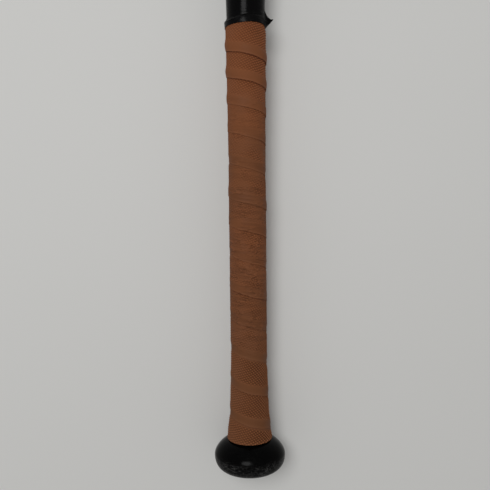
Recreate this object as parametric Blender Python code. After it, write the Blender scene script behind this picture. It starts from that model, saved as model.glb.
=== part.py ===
"""A composite baseball bat in two bonded halves, lying at rest on a floor.

Every piece is modelled about the bat's own axis, which is local +Y: Y is 0 at the knob's end face
and BAT_LENGTH at the end cap's face. An empty carries all of them and lays the bat on the floor,
where the knob and the barrel's shoulder touch. Lengths are in metres.
"""

from math import atan2, cos, hypot, pi, sin, tau

import bmesh
import bpy

# Overall sizes
BAT_LENGTH = 0.8382  # 33 in
BARREL_RADIUS = 0.0333  # 2 5/8 in across
KNOB_RADIUS = 0.0254  # 2 in across
HANDLE_RADIUS = 0.01175  # the bare tube at its thinnest
SEAT_GAP = 0.0003  # glue line between bonded pieces
TURNED_SIDES = 32

# Handle tube: straight under the lower hand, then swelling towards the joint
HANDLE_WALL = 0.0026
HANDLE_STRAIGHT = 0.110
HANDLE_SWELL = 0.0044  # how much its radius has grown at the joint
SWELL_POWER = 2.5
TUBE_RECESS = 0.0028  # from the knob's face to the tube's end

# Joint between handle and barrel
JOINT_STATION = 0.405
JOINT_LAP = 0.058
SLEEVE_WALL = 0.0013
SLEEVE_SETBACK = 0.003
SLEEVE_LIP = 0.0014
LIP_INSET = 0.0005
COLLAR_LENGTH = 0.030
COLLAR_TIP = 0.0007
COLLAR_GROOVE = 0.0006
COLLAR_GROOVE_WIDTH = 0.0016

# Barrel
THROAT_WALL = 0.0022
BARREL_WALL = 0.0051
BARREL_STRAIGHT = 0.181  # the cylindrical stretch behind the open end
BARREL_EDGE = 0.0016  # rounding of the barrel's open end
RING_FROM_END = 0.150  # the sweet spot
RING_LENGTH = 0.030
RING_WALL = 0.0022
RING_CHAMFER = 0.001

# End cap
CAP_HEIGHT = 0.0072  # how far the cap stands out of the barrel
CAP_EDGE_HEIGHT = 0.0022
CAP_INSET = 0.0009
CAP_CROWN = 0.0050
CAP_RIM_WIDTH = 0.0035
DISH_DEPTH = 0.0028
DISH_SLOPE = 0.0030
CAP_WALL = 0.0024
SKIRT_LENGTH = 0.024
BEAD_HEIGHT = 0.0006
BEAD_WIDTH = 0.0040
BEAD_FROM_SEAT = 0.012
BOSS_RADIUS = 0.0050
BOSS_LENGTH = 0.0100
BOND_LENGTH = 0.004
BOND_THICKNESS = 0.0026
RIB_COUNT = 6
RIB_WIDTH = 0.0016
RIB_DEPTH = 0.0080

# Knob, with the tapered neck that the grip runs down onto
KNOB_HEIGHT = 0.0221
KNOB_WIDEST = 0.0114  # height of the widest ring above the end face
KNOB_FACE_RIM = 0.0014
KNOB_FOOT_POWER = 2.4
KNOB_SHOULDER_POWER = 1.3
NECK_LENGTH = 0.036
FLARE_RISE = 0.0025
FLARE_LENGTH = 0.060
FLARE_POWER = 1.3

# Plug in the knob's end, and the balance weight above it
PLUG_LIP = 0.00055
PLUG_HEAD = 0.0025
PLUG_LENGTH = 0.0125
PLUG_WALL = 0.0022
PLUG_BARB = 0.0007
PLUG_BARBS = 3
WEIGHT_LENGTH = 0.048
WEIGHT_CHAMFER = 0.0008
HOLDER_WALL = 0.0016
HOLDER_FLOOR = 0.0025

# Foam bung that closes the tube below the joint
BUNG_FROM_JOINT = 0.012
BUNG_LENGTH = 0.028

# Grip: one strip with thinned edges, wound upwards from the knob, each turn lapping the last
GRIP_LENGTH = 0.2939
STRIP_WIDTH = 0.0262
STRIP_THICKNESS = 0.0010
STRIP_EDGE = 0.0003
STRIP_SKIVE = 0.007
PITCH_AT_KNOB = 0.02395
PITCH_AT_TOP = 0.01895
LAP_GAP = 0.0005
LAP_RAMP = 0.0025
GRIP_PHASE = 0.506  # turns wound when the strip's lower edge first faces up
STEPS_PER_TURN = 24
OVERRUN = 0.3  # turns wound past each end before the strip is trimmed

# Finishing tape over the grip's upper end, with its loose tail
TAPE_WIDTH = 0.0115
TAPE_ON_GRIP = 0.0025
TAPE_THICKNESS = 0.0004
TAPE_SLANT = 0.0035
TAPE_GAP = 0.0006
TAPE_DRAPE = 0.5  # share of its width past the grip in which it drops onto the tube
TAPE_ROWS = 6
TAPE_STEPS_PER_TURN = 36
TAPE_LAP_STEPS = 4
TAPE_CLIMB_STEPS = 6  # over which it climbs onto its own start
TAPE_LIFT_OFF = 50 * pi / 180  # where the tail leaves the bat, from the top towards +X
TAIL_LENGTH = 0.0135
TAIL_SQUARE = 0.4  # share of the tail that keeps the tape's full width
TAIL_STEPS = 5
TAIL_TIP_WIDTH = 0.0012

# Places worked out from the sizes above
BARREL_END = BAT_LENGTH - CAP_HEIGHT
SHOULDER_STATION = BARREL_END - BARREL_STRAIGHT
HANDLE_END = JOINT_STATION + JOINT_LAP
PLUG_HEAD_RADIUS = HANDLE_RADIUS + PLUG_LIP
KNOB_FACE_RADIUS = PLUG_HEAD_RADIUS + SEAT_GAP + KNOB_FACE_RIM
NECK_END = KNOB_HEIGHT + NECK_LENGTH
GRIP_START = KNOB_HEIGHT + SEAT_GAP
GRIP_END = GRIP_START + GRIP_LENGTH
GRIP_TURNS = GRIP_LENGTH / ((PITCH_AT_KNOB + PITCH_AT_TOP) / 2)
BORE_RADIUS = HANDLE_RADIUS - HANDLE_WALL
FLAT_TO_CORNER = cos(pi / TURNED_SIDES)

COLOURS = {
    "black_gloss": ((0.012, 0.012, 0.014), 0.18, 0.0),
    "black_satin": ((0.020, 0.020, 0.022), 0.45, 0.0),
    "black_tape": ((0.015, 0.015, 0.016), 0.38, 0.0),
    "brown_grip": ((0.170, 0.058, 0.024), 0.62, 0.0),
    "grey_rubber": ((0.060, 0.060, 0.065), 0.80, 0.0),
    "raw_composite": ((0.030, 0.031, 0.034), 0.50, 0.0),
    "steel": ((0.550, 0.550, 0.560), 0.35, 1.0),
    "foam": ((0.620, 0.560, 0.420), 0.90, 0.0),
    "amber_glue": ((0.480, 0.300, 0.090), 0.30, 0.0),
}


def clear_scene():
    """Removes whatever the scene holds."""
    for item in list(bpy.data.objects):
        bpy.data.objects.remove(item, do_unlink=True)


def finish_material(name):
    """The named finish as a Principled material, made once."""
    found = bpy.data.materials.get(name)
    if found:
        return found
    colour, roughness, metallic = COLOURS[name]
    made = bpy.data.materials.new(name)
    made.use_nodes = True
    shader = made.node_tree.nodes["Principled BSDF"]
    shader.inputs["Base Color"].default_value = (*colour, 1.0)
    shader.inputs["Roughness"].default_value = roughness
    shader.inputs["Metallic"].default_value = metallic
    made.diffuse_color = (*colour, 1.0)
    return made


def spaced(first, last, count):
    """count values from first to last, evenly spaced and with both ends."""
    return [first + (last - first) * i / (count - 1) for i in range(count)]


def place(name, mesh_data, finish, carrier):
    """Fills a new object of this name from a bmesh, gives it its finish and hangs it on the carrier."""
    bmesh.ops.recalc_face_normals(mesh_data, faces=mesh_data.faces)
    mesh = bpy.data.meshes.new(name)
    mesh_data.to_mesh(mesh)
    mesh_data.free()
    mesh.materials.append(finish_material(finish))
    mesh.shade_smooth()
    mesh.set_sharp_from_angle(angle=30 * pi / 180)
    piece = bpy.data.objects.new(name, mesh)
    bpy.context.scene.collection.objects.link(piece)
    piece.parent = carrier
    return piece


def turned(name, outline, finish, carrier, sides=TURNED_SIDES):
    """A body of revolution about +Y from a closed outline of (radius, station) points.

    The first side straddles the lowest line, so that the bat lies on a flat and not on a corner.
    """
    shape = bmesh.new()
    first = pi / sides
    points = [shape.verts.new((r * sin(first), y, -r * cos(first))) for r, y in outline]
    loop = [shape.edges.new((a, b)) for a, b in zip(points, points[1:] + points[:1])]
    bmesh.ops.spin(
        shape,
        geom=points + loop,
        cent=(0, 0, 0),
        axis=(0, 1, 0),
        angle=tau,
        steps=sides,
        use_merge=False,
    )
    bmesh.ops.remove_doubles(shape, verts=shape.verts, dist=1e-7)
    on_axis = [e for e in shape.edges if len(e.link_faces) != 2]
    bmesh.ops.delete(shape, geom=on_axis, context="EDGES")
    return place(name, shape, finish, carrier)


def handle_radius(y):
    """Outer radius of the handle tube: straight, then a power curve that is HANDLE_SWELL at the joint."""
    share = max(0.0, (y - HANDLE_STRAIGHT) / (JOINT_STATION - HANDLE_STRAIGHT))
    return HANDLE_RADIUS + HANDLE_SWELL * share**SWELL_POWER


def grip_seat_radius(y):
    """Radius of what the grip lies on: the knob's neck, falling in a power curve to the handle tube."""
    left = max(0.0, 1 - (y - KNOB_HEIGHT) / FLARE_LENGTH)
    return handle_radius(y) + FLARE_RISE * left**FLARE_POWER


def socket_radius(y):
    """Inner radius of the barrel's throat, which holds the handle's cone and the sleeve round it."""
    return handle_radius(y) + SEAT_GAP + SLEEVE_WALL + SEAT_GAP


def barrel_radius(y):
    """Outer radius of the barrel: a cubic that leaves the throat on a slope and meets the shoulder level."""
    throat = socket_radius(JOINT_STATION) + THROAT_WALL
    t = min(1.0, (y - JOINT_STATION) / (SHOULDER_STATION - JOINT_STATION))
    return throat + (BARREL_RADIUS - throat) * (t + t**2 - t**3)


def barrel_bore(y):
    """Inner radius of the barrel past the joint, its wall thickening evenly up to the shoulder."""
    wall_at_lap = barrel_radius(HANDLE_END) - socket_radius(HANDLE_END)
    share = min(1.0, (y - HANDLE_END) / (SHOULDER_STATION - HANDLE_END))
    return barrel_radius(y) - (wall_at_lap + (BARREL_WALL - wall_at_lap) * share)


def knob_outline():
    """Round foot, conical shoulder, flared neck, and the bore for the tube and the plug's head."""
    foot_angles = spaced(0, pi / 2, 9)
    foot = [
        (
            KNOB_FACE_RADIUS + (KNOB_RADIUS - KNOB_FACE_RADIUS) * sin(a) ** (2 / KNOB_FOOT_POWER),
            KNOB_WIDEST * (1 - cos(a) ** (2 / KNOB_FOOT_POWER)),
        )
        for a in foot_angles
    ]
    root = grip_seat_radius(KNOB_HEIGHT)
    shoulder = [
        (
            root + (KNOB_RADIUS - root) * cos(a) ** (2 / KNOB_SHOULDER_POWER),
            KNOB_WIDEST + (KNOB_HEIGHT - KNOB_WIDEST) * sin(a) ** (2 / KNOB_SHOULDER_POWER),
        )
        for a in spaced(0, pi / 2, 7)[1:]
    ]
    neck = [(grip_seat_radius(y), y) for y in spaced(KNOB_HEIGHT, NECK_END, 6)[1:]]
    bore = HANDLE_RADIUS + SEAT_GAP
    counterbore = PLUG_HEAD_RADIUS + SEAT_GAP
    inside = [(bore, NECK_END), (bore, TUBE_RECESS), (counterbore, TUBE_RECESS), (counterbore, 0)]
    return foot + shoulder + neck + inside


def plug_outline():
    """A flat head flush with the knob's face and a hollow barbed stem in the tube."""
    stem = BORE_RADIUS - SEAT_GAP
    outline = [(0, 0), (PLUG_HEAD_RADIUS, 0), (PLUG_HEAD_RADIUS, PLUG_HEAD)]
    barb_pitch = (PLUG_LENGTH - PLUG_HEAD) / PLUG_BARBS
    for i in range(PLUG_BARBS):
        low = PLUG_HEAD + barb_pitch * i
        outline += [(stem - PLUG_BARB, low), (stem, low + barb_pitch / 4)]
    outline += [(stem - PLUG_BARB, PLUG_LENGTH), (stem - PLUG_WALL, PLUG_LENGTH)]
    return outline + [(stem - PLUG_WALL, PLUG_HEAD), (0, PLUG_HEAD)]


def holder_outline(low):
    """A rubber cup with its mouth towards the knob, which grips the balance weight."""
    outside = BORE_RADIUS - SEAT_GAP
    inside = outside - HOLDER_WALL
    floor = low + SEAT_GAP + WEIGHT_LENGTH + SEAT_GAP
    top = floor + HOLDER_FLOOR
    return [(inside, low), (outside, low), (outside, top), (0, top), (0, floor), (inside, floor)]


def weight_outline(low):
    """A round steel slug with chamfered ends."""
    radius = BORE_RADIUS - SEAT_GAP - HOLDER_WALL - SEAT_GAP
    top = low + WEIGHT_LENGTH
    edge = radius - WEIGHT_CHAMFER
    side = [(radius, low + WEIGHT_CHAMFER), (radius, top - WEIGHT_CHAMFER)]
    return [(0, low), (edge, low), *side, (edge, top), (0, top)]


def handle_outline():
    """The tube's outside up to its hidden end, and its bore back down."""
    stations = [TUBE_RECESS, HANDLE_STRAIGHT, *spaced(HANDLE_STRAIGHT, HANDLE_END, 15)[1:]]
    outside = [(handle_radius(y), y) for y in stations]
    inside = [(handle_radius(y) - HANDLE_WALL, y) for y in stations[::2]]
    return outside + [(handle_radius(HANDLE_END) - HANDLE_WALL, HANDLE_END)] + inside[::-1]


def bung_outline():
    """A foam cone that fills the tube's bore just below the joint."""
    top = JOINT_STATION - BUNG_FROM_JOINT
    stations = spaced(top - BUNG_LENGTH, top, 3)
    side = [(handle_radius(y) - HANDLE_WALL - SEAT_GAP, y) for y in stations]
    return [(0, stations[0]), *side, (0, stations[-1])]


def sleeve_outline():
    """The elastomer cone between handle and barrel, with a lip that shows as a thin ring."""
    lip_face = JOINT_STATION - SEAT_GAP
    lip_back = lip_face - SLEEVE_LIP
    lip = barrel_radius(JOINT_STATION) - LIP_INSET
    end = HANDLE_END - SLEEVE_SETBACK
    stations = spaced(lip_face, end, 4)
    inside = [(handle_radius(y) + SEAT_GAP, y) for y in [lip_back, *stations]]
    outside = [(handle_radius(y) + SEAT_GAP + SLEEVE_WALL, y) for y in stations]
    return inside[::-1] + [(lip, lip_back), (lip, lip_face)] + outside


def collar_outline():
    """A tapered trim ring that runs the barrel's throat down to the handle, with one groove."""
    top = JOINT_STATION - SEAT_GAP - SLEEVE_LIP - SEAT_GAP
    low = top - COLLAR_LENGTH
    inside = [(handle_radius(y) + SEAT_GAP, y) for y in spaced(low, top, 3)]
    tip = inside[0][0] + COLLAR_TIP
    brim = barrel_radius(JOINT_STATION)
    groove_low = top - 3 * COLLAR_GROOVE_WIDTH
    groove_top = groove_low + COLLAR_GROOVE_WIDTH

    def cone(y):
        share = (y - low) / COLLAR_LENGTH
        return tip + (brim - tip) * (share + share**2) / 2

    rising = [(cone(y), y) for y in spaced(low, groove_low, 5)]
    groove = [
        (cone(groove_low) - COLLAR_GROOVE, groove_low + COLLAR_GROOVE / 2),
        (cone(groove_low) - COLLAR_GROOVE, groove_top - COLLAR_GROOVE / 2),
    ]
    return inside[::-1] + rising + groove + [(cone(groove_top), groove_top), (brim, top)]


def barrel_outline():
    """The shell's outside from throat to open end, and its bore with the groove for the cap's bead."""
    outside = [(barrel_radius(y), y) for y in spaced(JOINT_STATION, SHOULDER_STATION, 13)]
    edge = [
        (BARREL_RADIUS - BARREL_EDGE * (1 - cos(a)), BARREL_END - BARREL_EDGE * (1 - sin(a)))
        for a in spaced(0, pi / 2, 4)
    ]
    bore = BARREL_RADIUS - BARREL_WALL
    bead = BARREL_END - BEAD_FROM_SEAT
    half = BEAD_WIDTH / 2 + SEAT_GAP
    groove = [
        (bore, bead + half + BEAD_HEIGHT),
        (bore + BEAD_HEIGHT, bead + half),
        (bore + BEAD_HEIGHT, bead - half),
        (bore, bead - half - BEAD_HEIGHT),
    ]
    taper = [(barrel_bore(y), y) for y in spaced(SHOULDER_STATION, HANDLE_END, 8)]
    socket = [(socket_radius(y), y) for y in spaced(HANDLE_END, JOINT_STATION, 4)[1:]]
    return outside + edge + [(bore, BARREL_END)] + groove + taper + socket


def ring_outline():
    """The stiffening ring bonded inside the barrel round its sweet spot."""
    outer = BARREL_RADIUS - BARREL_WALL - SEAT_GAP
    inner = outer - RING_WALL
    centre = BAT_LENGTH - RING_FROM_END
    low, top = centre - RING_LENGTH / 2, centre + RING_LENGTH / 2
    return [
        (inner + RING_CHAMFER, low),
        (outer, low),
        (outer, top),
        (inner + RING_CHAMFER, top),
        (inner, top - RING_CHAMFER),
        (inner, low + RING_CHAMFER),
    ]


def cap_sizes():
    """The cap's own radii and levels: skirt, plate underside and flange."""
    skirt = BARREL_RADIUS - BARREL_WALL - SEAT_GAP
    plate = BAT_LENGTH - DISH_DEPTH - CAP_WALL
    flange = BARREL_RADIUS - CAP_INSET
    return skirt, plate, flange


def cap_outline():
    """A dished face with a crowned edge, a skirt with a snap bead, and a boss in the middle."""
    skirt, plate, flange = cap_sizes()
    seat = BARREL_END + SEAT_GAP
    bead = BARREL_END - BEAD_FROM_SEAT
    half = BEAD_WIDTH / 2
    skirt_end = BARREL_END - SKIRT_LENGTH
    crown_height = CAP_HEIGHT - CAP_EDGE_HEIGHT
    crown = [
        (
            flange - CAP_CROWN * (1 - cos(a)),
            BARREL_END + CAP_EDGE_HEIGHT + crown_height * sin(a),
        )
        for a in spaced(0, pi / 2, 6)
    ]
    rim = flange - CAP_CROWN - CAP_RIM_WIDTH
    dish = [(rim, BAT_LENGTH), (rim - DISH_SLOPE, BAT_LENGTH - DISH_DEPTH)]
    middle = [(0, BAT_LENGTH - DISH_DEPTH), (0, plate - BOSS_LENGTH)]
    boss = [(BOSS_RADIUS, plate - BOSS_LENGTH), (BOSS_RADIUS, plate)]
    inside = [(skirt - CAP_WALL, plate), (skirt - CAP_WALL, skirt_end)]
    outside = [
        (skirt, skirt_end),
        (skirt, bead - half - BEAD_HEIGHT),
        (skirt + BEAD_HEIGHT, bead - half),
        (skirt + BEAD_HEIGHT, bead + half),
        (skirt, bead + half + BEAD_HEIGHT),
        (skirt, seat),
        (flange, seat),
    ]
    return crown + dish + middle + boss + inside + outside


def bond_outline():
    """The bead of glue that has squeezed out behind the cap's skirt, triangular in section."""
    bore = BARREL_RADIUS - BARREL_WALL - SEAT_GAP
    top = BARREL_END - SKIRT_LENGTH - SEAT_GAP
    waist = (bore - BOND_THICKNESS / 3, top - 2 * BOND_LENGTH / 3)
    return [(bore, top - BOND_LENGTH), (bore, top), (bore - BOND_THICKNESS, top), waist]


def add_cap_ribs(cap, carrier):
    """Joins the stiffening ribs that run from the cap's boss to its skirt."""
    skirt, plate, _ = cap_sizes()
    inner = BOSS_RADIUS * 0.8
    outer = skirt - CAP_WALL / 2
    shape = bmesh.new()
    for i in range(RIB_COUNT):
        turn = tau * i / RIB_COUNT
        made = bmesh.ops.create_cube(shape, size=1)["verts"]
        for corner in made:
            along = inner if corner.co.x < 0 else outer
            across = corner.co.z * RIB_WIDTH
            level = plate + CAP_WALL / 2 if corner.co.y > 0 else plate - RIB_DEPTH
            corner.co = (
                along * cos(turn) - across * sin(turn),
                level,
                along * sin(turn) + across * cos(turn),
            )
    ribs = place("cap_ribs", shape, "black_satin", carrier)
    ribs.hide_render = True
    ribs.display_type = "WIRE"
    join = cap.modifiers.new("ribs", "BOOLEAN")
    join.operation = "UNION"
    join.solver = "EXACT"
    join.use_self = True
    join.object = ribs


def edge_station(turns):
    """Station of the strip's lower edge after so many turns, its pitch closing evenly up the grip."""
    closing = (PITCH_AT_KNOB - PITCH_AT_TOP) / (2 * GRIP_TURNS)
    return GRIP_START + PITCH_AT_KNOB * turns - closing * turns**2


def strip_thickness(u):
    """The strip's thickness at u across its width, thinned towards both edges."""
    share = min(1.0, u / STRIP_SKIVE, (STRIP_WIDTH - u) / STRIP_SKIVE)
    return STRIP_EDGE + (STRIP_THICKNESS - STRIP_EDGE) * max(0.0, share)


def strip_lift(u, lap):
    """How far the strip is held off its seat at u by the turn below, which it covers for lap."""
    if u <= lap:
        return LAP_GAP + strip_thickness(u + STRIP_WIDTH - lap)
    return max(0.0, 1 - (u - lap) / LAP_RAMP) * (LAP_GAP + STRIP_EDGE)


def strip_section(turns):
    """The strip's closed section after so many turns, as (radius, station) points."""
    low = edge_station(turns)
    lap = edge_station(turns - 1) + STRIP_WIDTH - low
    kink = max(lap - STRIP_SKIVE, lap * 0.3)
    under = [0, kink, lap, lap + LAP_RAMP, STRIP_WIDTH]
    over = [STRIP_WIDTH, STRIP_WIDTH - STRIP_SKIVE, lap + LAP_RAMP, lap, 0]
    points = []
    for u in under:
        points.append((grip_seat_radius(low + u) + SEAT_GAP + strip_lift(u, lap), low + u))
    for u in over:
        top = strip_lift(u, lap) + strip_thickness(u)
        points.append((grip_seat_radius(low + u) + SEAT_GAP + top, low + u))
    return points


def winding_angle(turns):
    """Angle from the top of the bat towards +X at which the strip lies after so many turns."""
    return -tau * (turns - GRIP_PHASE)


def least_gap(sections, steps_per_turn):
    """The narrowest gap between one turn of a winding and the next, measured on its points."""
    least = 1.0
    for below, above in zip(sections, sections[steps_per_turn:]):
        for here, there in ((above, below), (below, above)):
            for r, y in here:
                for (r1, y1), (r2, y2) in zip(there, there[1:] + there[:1]):
                    dr, dy = r2 - r1, y2 - y1
                    share = ((r - r1) * dr + (y - y1) * dy) / (dr * dr + dy * dy)
                    share = min(1.0, max(0.0, share))
                    least = min(least, hypot(r - r1 - dr * share, y - y1 - dy * share))
    return least


def loft(name, lanes, finish, carrier):
    """One closed body through lanes of points that all have the same count, with both ends capped."""
    shape = bmesh.new()
    rings = [[shape.verts.new(point) for point in lane] for lane in lanes]
    for ring, after in zip(rings, rings[1:]):
        for a in range(len(ring)):
            b = (a + 1) % len(ring)
            shape.faces.new((ring[a], ring[b], after[b], after[a]))
    shape.faces.new(rings[0])
    shape.faces.new(rings[-1][::-1])
    return place(name, shape, finish, carrier)


def swung(section, angle):
    """A section of (radius, station) points swung to an angle from the top of the bat towards +X."""
    return [(r * sin(angle), y, r * cos(angle)) for r, y in section]


def make_grip(carrier):
    """Winds the strip past both ends of the grip, then trims it square there."""
    first = -STRIP_WIDTH / PITCH_AT_KNOB - OVERRUN
    steps = int((GRIP_TURNS + OVERRUN - first) * STEPS_PER_TURN)
    turns = [first + i / STEPS_PER_TURN for i in range(steps + 1)]
    sections = [strip_section(t) for t in turns]
    lanes = [swung(section, winding_angle(t)) for section, t in zip(sections, turns)]
    grip = loft("grip_strip", lanes, "brown_grip", carrier)
    reach = 2 * KNOB_RADIUS
    slab = [(0, GRIP_START), (reach, GRIP_START), (reach, GRIP_END), (0, GRIP_END)]
    trim = turned("grip_trim", slab, "brown_grip", carrier)
    trim.hide_render = True
    trim.display_type = "WIRE"
    cut = grip.modifiers.new("trim", "BOOLEAN")
    cut.operation = "INTERSECT"
    cut.solver = "EXACT"
    cut.object = trim
    gap = least_gap(sections, STEPS_PER_TURN)
    print(f"least gap between turns of the grip strip: {gap * 1000:.2f} mm")


def grip_height(angle, y):
    """How far the wound grip stands off its seat at an angle and a station."""
    turns = GRIP_PHASE - angle / tau
    turns -= int(turns) + 1
    while edge_station(turns + 1) <= y:
        turns += 1
    low = edge_station(turns)
    u = min(y - low, STRIP_WIDTH)
    lap = edge_station(turns - 1) + STRIP_WIDTH - low
    return strip_lift(u, lap) + strip_thickness(u)


def tape_seat(angle, y):
    """Radius that the tape lies on: the highest of the grip nearby, or the bare handle above it."""
    if y > GRIP_END + SEAT_GAP:
        return handle_radius(y)
    near = [(a, b) for a in (-0.24, 0, 0.24) for b in (-0.003, 0, 0.002)]
    stand = max(grip_height(angle + a, min(y + b, GRIP_END)) for a, b in near)
    return grip_seat_radius(y) + SEAT_GAP + stand


def tape_section(angle, lift):
    """The tape's closed section at an angle, lifted off its seat, as (radius, station) points."""
    low = GRIP_END - TAPE_ON_GRIP
    top = low + TAPE_WIDTH - TAPE_SLANT * (1 - sin(angle))
    on_grip = spaced(low, GRIP_END + SEAT_GAP, TAPE_ROWS // 2)
    landing = GRIP_END + (top - GRIP_END) * TAPE_DRAPE
    on_tube = spaced(landing, top, TAPE_ROWS - TAPE_ROWS // 2)
    under = [(tape_seat(angle, y) + SEAT_GAP + lift, y) for y in on_grip + on_tube]
    return under + [(r + TAPE_THICKNESS, y) for r, y in under[::-1]]


def make_tape(carrier):
    """One turn and a lap of tape draped over the grip's end, then a tail that leaves along a tangent."""
    step = tau / TAPE_STEPS_PER_TURN
    count = TAPE_STEPS_PER_TURN + TAPE_LAP_STEPS
    climb = TAPE_CLIMB_STEPS
    over_lap = TAPE_THICKNESS + TAPE_GAP
    angles = [TAPE_LIFT_OFF - step * (count - i) for i in range(count + 1)]
    lifts = [
        over_lap * min(1.0, max(0.0, (i - TAPE_STEPS_PER_TURN + climb) / climb)) for i in range(count + 1)
    ]
    sections = [tape_section(angle, lift) for angle, lift in zip(angles, lifts)]
    lanes = [swung(section, angle) for section, angle in zip(sections, angles)]
    base = lanes[-1]
    away = (cos(TAPE_LIFT_OFF), -sin(TAPE_LIFT_OFF))
    middle = (base[0][1] + base[TAPE_ROWS - 1][1]) / 2
    for i in range(1, TAIL_STEPS + 1):
        share = i / TAIL_STEPS
        travel = TAIL_LENGTH * share
        pointed = max(0.0, (share - TAIL_SQUARE) / (1 - TAIL_SQUARE))
        narrow = 1 - (1 - TAIL_TIP_WIDTH / TAPE_WIDTH) * pointed
        lanes.append(
            [(x + away[0] * travel, middle + (y - middle) * narrow, z + away[1] * travel) for x, y, z in base]
        )
    loft("finishing_tape", lanes, "black_tape", carrier)
    gap = least_gap(sections, TAPE_STEPS_PER_TURN)
    print(f"least gap between turns of the finishing tape: {gap * 1000:.2f} mm")


def rest_tilt():
    """Angle that lifts the barrel's end when the knob and the barrel both touch the floor."""
    rises = [
        ((r - KNOB_RADIUS) * FLAT_TO_CORNER, y - KNOB_WIDEST)
        for r, y in barrel_outline()
        if y > JOINT_STATION
    ]
    return max(atan2(rise, run) for rise, run in rises)


def make_carrier():
    """The empty that lays the bat along +Y on the floor, with the origin midway between its ends."""
    carrier = bpy.data.objects.new("bat_axis", None)
    bpy.context.scene.collection.objects.link(carrier)
    tilt = rest_tilt()
    height = KNOB_RADIUS * FLAT_TO_CORNER * cos(tilt) - KNOB_WIDEST * sin(tilt)
    nearest = min(y * cos(tilt) - r * FLAT_TO_CORNER * sin(tilt) for r, y in knob_outline())
    furthest = max(y * cos(tilt) + r * FLAT_TO_CORNER * sin(tilt) for r, y in cap_outline())
    carrier.location = (0, -(nearest + furthest) / 2, height)
    carrier.rotation_euler = (tilt, 0, 0)
    return carrier


def build():
    """Models every piece of the bat."""
    clear_scene()
    carrier = make_carrier()
    turned("knob", knob_outline(), "black_gloss", carrier)
    turned("knob_plug", plug_outline(), "black_satin", carrier)
    holder_low = PLUG_LENGTH + SEAT_GAP
    turned("weight_holder", holder_outline(holder_low), "grey_rubber", carrier)
    turned("balance_weight", weight_outline(holder_low + SEAT_GAP), "steel", carrier)
    turned("handle_tube", handle_outline(), "black_gloss", carrier)
    turned("foam_bung", bung_outline(), "foam", carrier)
    turned("joint_sleeve", sleeve_outline(), "grey_rubber", carrier)
    turned("joint_collar", collar_outline(), "black_satin", carrier)
    turned("barrel_shell", barrel_outline(), "black_gloss", carrier)
    turned("barrel_ring", ring_outline(), "raw_composite", carrier)
    turned("cap_bond", bond_outline(), "amber_glue", carrier)
    cap = turned("end_cap", cap_outline(), "black_satin", carrier)
    add_cap_ribs(cap, carrier)
    make_grip(carrier)
    make_tape(carrier)


build()
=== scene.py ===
"""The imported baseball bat, dressed and seen from above its grip.

Every new piece is worked out about the bat's own axis, with Y running from the knob's end face, and
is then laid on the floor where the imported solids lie. Lengths are in metres and angles in radians.
"""

from math import cos, pi, radians, sin, tau

import bmesh
import bpy
import numpy as np
from mathutils import Matrix, Vector


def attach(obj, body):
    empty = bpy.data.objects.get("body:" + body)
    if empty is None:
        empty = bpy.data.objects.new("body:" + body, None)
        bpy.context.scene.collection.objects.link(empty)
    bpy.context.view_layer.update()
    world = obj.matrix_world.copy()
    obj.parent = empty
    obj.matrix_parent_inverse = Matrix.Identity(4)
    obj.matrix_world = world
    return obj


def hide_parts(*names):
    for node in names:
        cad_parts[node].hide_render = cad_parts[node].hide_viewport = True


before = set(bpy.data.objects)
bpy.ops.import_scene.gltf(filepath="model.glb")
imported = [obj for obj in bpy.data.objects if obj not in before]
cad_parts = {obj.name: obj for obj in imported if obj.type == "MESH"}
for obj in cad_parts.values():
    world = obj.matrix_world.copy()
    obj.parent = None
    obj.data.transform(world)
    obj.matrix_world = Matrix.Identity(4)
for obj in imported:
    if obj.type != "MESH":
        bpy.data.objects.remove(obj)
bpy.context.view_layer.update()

# Where the bat's axis starts and how far it rises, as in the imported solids
AXIS_START = np.array((0.0, -0.4191505, 0.025134))
AXIS_TILT = 0.0124376

# Overall sizes
BAT_LENGTH = 0.8382
BARREL_RADIUS = 0.0333
KNOB_RADIUS = 0.0256
HANDLE_RADIUS = 0.01175
SEAT_GAP = 0.0003

# Points round a turned piece and round each of its soft corners, and a length too short to keep
SIDES = 160
CORNER_POINTS = 5
SAME_PLACE = 1e-7

# Handle tube
HANDLE_WALL = 0.0026
HANDLE_STRAIGHT = 0.110
HANDLE_SWELL = 0.0044
SWELL_POWER = 3.0
TUBE_RECESS = 0.0028

# Joint between handle and barrel
JOINT_STATION = 0.405
JOINT_LAP = 0.058
SLEEVE_WALL = 0.0013
SLEEVE_SETBACK = 0.003
SLEEVE_LIP = 0.0014
LIP_INSET = 0.0005
COLLAR_LENGTH = 0.030
COLLAR_TIP = 0.0007
COLLAR_GROOVE = 0.0006
COLLAR_GROOVE_WIDTH = 0.0016
COLLAR_GROOVE_POWER = 0.7

# Barrel
THROAT_WALL = 0.0022
BARREL_WALL = 0.0051
BARREL_STRAIGHT = 0.181
BARREL_EDGE = 0.0016

# End cap, with the radii of the raised ring in its dish from foot to foot
CAP_HEIGHT = 0.0072
CAP_EDGE_HEIGHT = 0.0022
CAP_INSET = 0.0009
CAP_CROWN = 0.0050
CAP_RIM_WIDTH = 0.0035
DISH_DEPTH = 0.0028
DISH_SLOPE = 0.0030
DISH_RING = (0.0130, 0.0126, 0.0112, 0.0108)
DISH_RING_HEIGHT = 0.0005
CAP_WALL = 0.0024
SKIRT_LENGTH = 0.024

# Knob and its plug
KNOB_HEIGHT = 0.0221
KNOB_WIDEST = 0.0114
KNOB_FACE_RIM = 0.0014
KNOB_FOOT_POWER = 2.56
KNOB_SHOULDER_POWER = 1.55
NECK_LENGTH = 0.036
FLARE_RISE = 0.0025
FLARE_LENGTH = 0.060
FLARE_POWER = 1.3
PLUG_LIP = 0.00055
PLUG_HEAD = 0.0025
PLUG_LENGTH = 0.0125
PLUG_WALL = 0.0022
PLUG_FLOOR = 0.0004
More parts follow.
